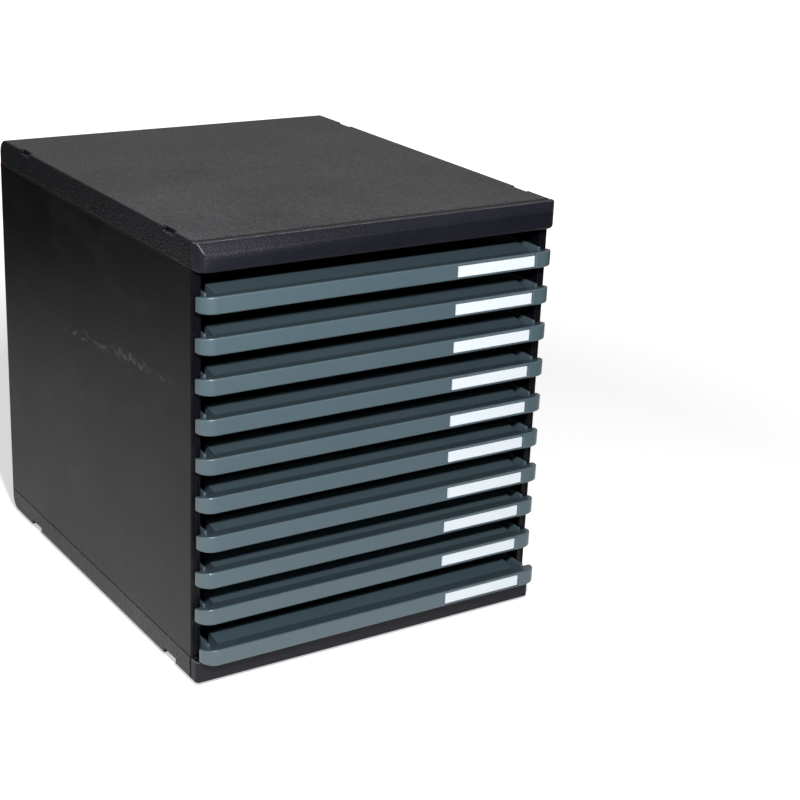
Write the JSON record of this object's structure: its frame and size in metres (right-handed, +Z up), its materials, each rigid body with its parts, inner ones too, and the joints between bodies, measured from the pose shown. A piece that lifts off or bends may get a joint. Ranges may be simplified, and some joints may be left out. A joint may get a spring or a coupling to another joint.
{
  "type": "drawer cabinet",
  "caption": "Desktop cabinet with a stack of shallow pull-out trays, each with a full-width lip and a label window, between side panels with a lid and a visor.",
  "frame": {"origin": "middle of the footprint of the cabinet and its lips as they stand in the rest pose, on the surface that the feet stand on", "axes": "+Z up; +Y to the back, so the drawers pull out along -Y; +X to the right as seen from the front"},
  "size_m": [0.288, 0.3578, 0.32],
  "materials": {
    "shell": "fine grain, matt black",
    "tray": "satin blue-grey",
    "card": "plain white card",
    "window": "clear plastic",
    "rubber": "matt black"
  },
  "bodies": {
    "cabinet": {"top_cover": "shell", "front_visor": "shell", "base_cover": "shell", "base_front_rail": "shell", "left_side_panel": "shell", "right_side_panel": "shell", "back_panel": "shell", "left_runner_rack": "shell", "right_runner_rack": "shell", "rubber_feet": "rubber"},
    "drawer_01": {"drawer_01_tray": "tray", "drawer_01_label_card": "card", "drawer_01_label_window": "window"},
    "drawer_02": {"drawer_02_tray": "tray", "drawer_02_label_card": "card", "drawer_02_label_window": "window"},
    "drawer_03": {"drawer_03_tray": "tray", "drawer_03_label_card": "card", "drawer_03_label_window": "window"},
    "drawer_04": {"drawer_04_tray": "tray", "drawer_04_label_card": "card", "drawer_04_label_window": "window"},
    "drawer_05": {"drawer_05_tray": "tray", "drawer_05_label_card": "card", "drawer_05_label_window": "window"},
    "drawer_06": {"drawer_06_tray": "tray", "drawer_06_label_card": "card", "drawer_06_label_window": "window"},
    "drawer_07": {"drawer_07_tray": "tray", "drawer_07_label_card": "card", "drawer_07_label_window": "window"},
    "drawer_08": {"drawer_08_tray": "tray", "drawer_08_label_card": "card", "drawer_08_label_window": "window"},
    "drawer_09": {"drawer_09_tray": "tray", "drawer_09_label_card": "card", "drawer_09_label_window": "window"},
    "drawer_10": {"drawer_10_tray": "tray", "drawer_10_label_card": "card", "drawer_10_label_window": "window"}
  },
  "joints": [
    {"name": "drawer_01_slide", "type": "slide", "parent": "cabinet", "child": "drawer_01", "axis": [0, -1, 0], "range_m": [-0.00066, 0.23934]},
    {"name": "drawer_02_slide", "type": "slide", "parent": "cabinet", "child": "drawer_02", "axis": [0, -1, 0], "range_m": [-0.00017, 0.23983]},
    {"name": "drawer_03_slide", "type": "slide", "parent": "cabinet", "child": "drawer_03", "axis": [0, -1, 0], "range_m": [-0.00042, 0.23958]},
    {"name": "drawer_04_slide", "type": "slide", "parent": "cabinet", "child": "drawer_04", "axis": [0, -1, 0], "range_m": [-0.00081, 0.23919]},
    {"name": "drawer_05_slide", "type": "slide", "parent": "cabinet", "child": "drawer_05", "axis": [0, -1, 0], "range_m": [-0.00103, 0.23897]},
    {"name": "drawer_06_slide", "type": "slide", "parent": "cabinet", "child": "drawer_06", "axis": [0, -1, 0], "range_m": [-0.001, 0.239]},
    {"name": "drawer_07_slide", "type": "slide", "parent": "cabinet", "child": "drawer_07", "axis": [0, -1, 0], "range_m": [-0.00263, 0.23737]},
    {"name": "drawer_08_slide", "type": "slide", "parent": "cabinet", "child": "drawer_08", "axis": [0, -1, 0], "range_m": [-0.00072, 0.23928]},
    {"name": "drawer_09_slide", "type": "slide", "parent": "cabinet", "child": "drawer_09", "axis": [0, -1, 0], "range_m": [-0.00039, 0.23961]},
    {"name": "drawer_10_slide", "type": "slide", "parent": "cabinet", "child": "drawer_10", "axis": [0, -1, 0], "range_m": [-0.0074, 0.2326]}
  ]
}
